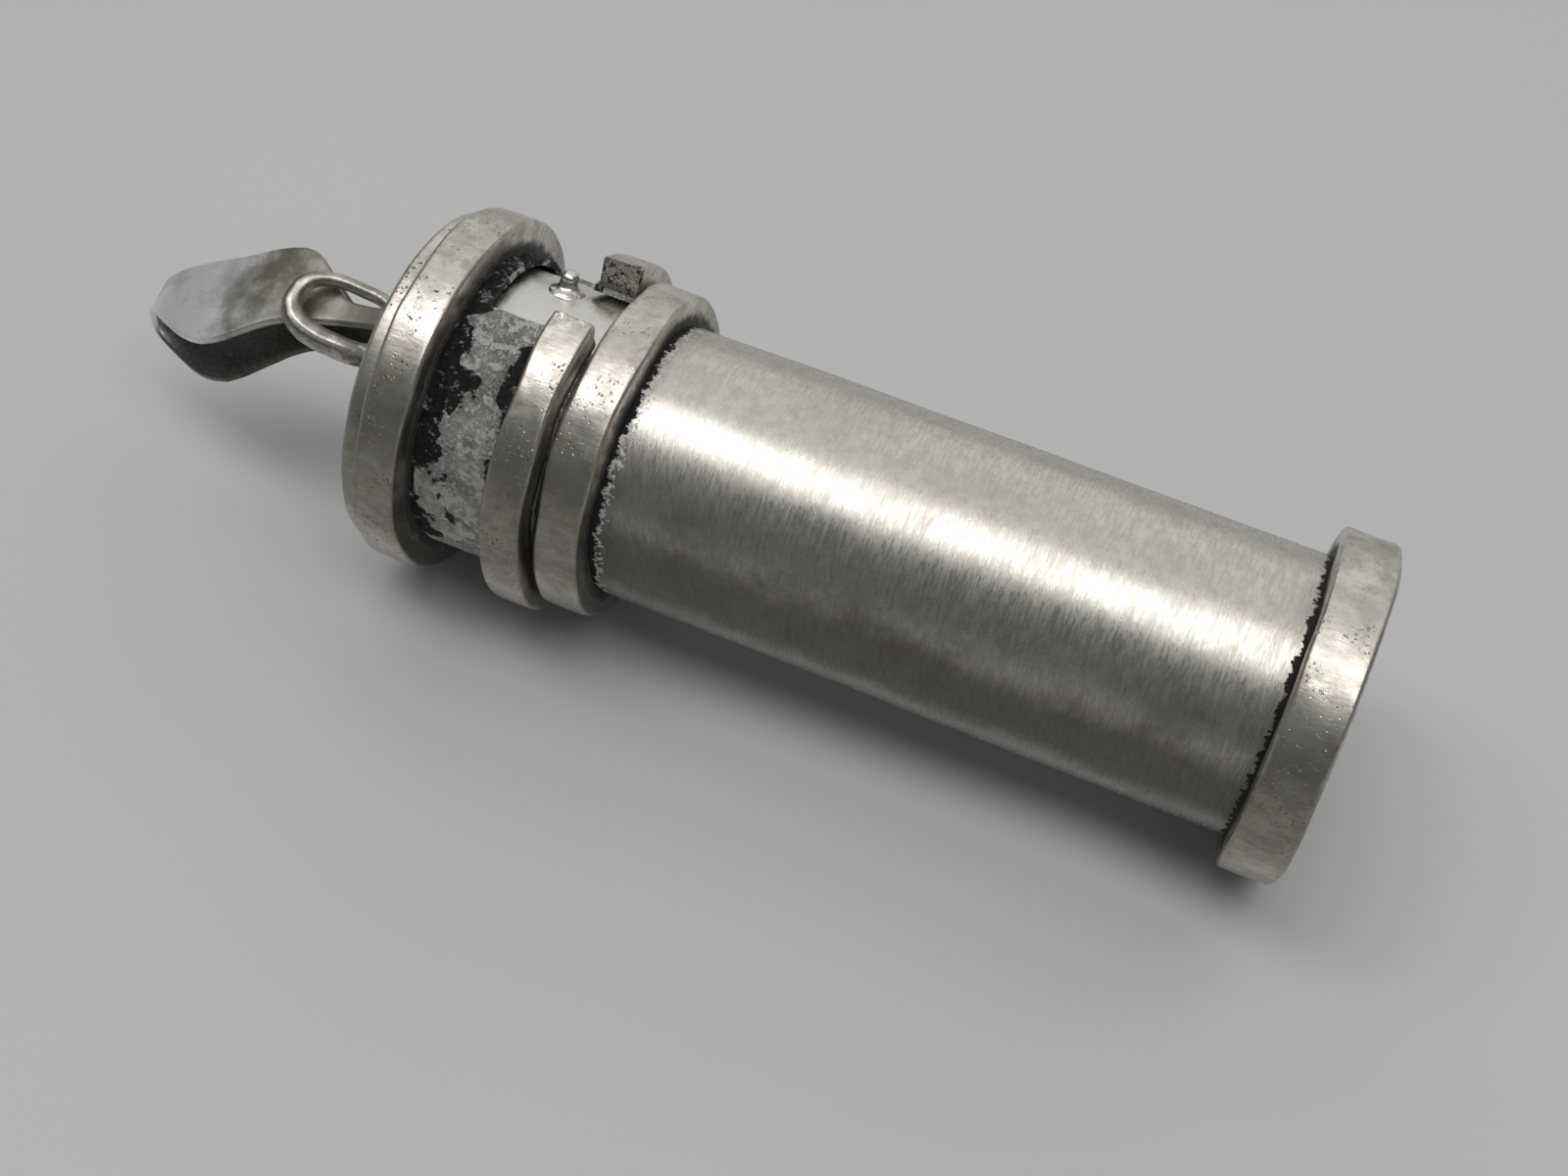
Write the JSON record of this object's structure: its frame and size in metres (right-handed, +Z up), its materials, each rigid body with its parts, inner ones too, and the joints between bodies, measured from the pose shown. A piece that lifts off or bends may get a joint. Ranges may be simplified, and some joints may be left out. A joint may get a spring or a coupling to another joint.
{
  "type": "training whistle",
  "caption": "Worn silver tube whistle pendant with a turn-and-pull bayonet cap, flat wire bands, a wire ring and a folded strap bail.",
  "frame": {"origin": "centre of the bounding box's bottom face, on the surface it lies on", "axes": "+X runs along the whistle toward its closed foot and -X toward the cap and the bail; +Z is up. The tube lies on its foot band and flange band, which tilts its axis 1.04 degrees, the cap end higher."},
  "size_m": [0.0638, 0.0186, 0.0186],
  "materials": {
    "aged_silver": "worn silver sheet, fine cross scratches, grey patina",
    "foot_silver": "worn silver sheet",
    "band_silver": "satin flat silver wire with dark recesses",
    "rim_silver": "satin flat silver wire with dark recesses",
    "pin_silver": "bright silver",
    "seal_leather": "dark leather washer, matte",
    "rough_silver": "rough mottled grey silver with black oxidised patches",
    "lock_silver": "satin flat silver wire",
    "flange_silver": "satin flat silver wire with small pits",
    "disc_silver": "worn silver sheet",
    "wire_silver": "polished silver wire with solder at the root",
    "bail_silver": "pale satin silver strap with brownish tarnish"
  },
  "bodies": {
    "tube": {"main_tube": "aged_silver", "foot_disc": "foot_silver", "foot_band": "band_silver", "rim_band": "rim_silver", "lock_pin": "pin_silver"},
    "washer": {"seal_washer": "seal_leather"},
    "cap": {"cap_sleeve": "rough_silver", "lock_band": "lock_silver", "flange_band": "flange_silver", "cap_disc": "disc_silver", "wire_ring": "wire_silver"},
    "bail": {"strap_bail": "bail_silver"}
  },
  "joints": [
    {"name": "cap_lift", "type": "slide", "parent": "tube", "child": "washer", "axis": [-0.9998, 0, 0.0181], "range_m": [0, 0.015]},
    {"name": "cap_twist", "type": "hinge", "parent": "washer", "child": "cap", "pos_m": [-0.01073, 0, 0.00927], "axis": [0.9998, 0, -0.0181], "range_deg": [-26, 34]},
    {"name": "bail_swing", "type": "hinge", "parent": "cap", "child": "bail", "pos_m": [-0.01723, -0.00078, 0.01253], "axis": [-0.0761, 0.9476, 0.3104], "range_deg": [-55, 2]}
  ]
}
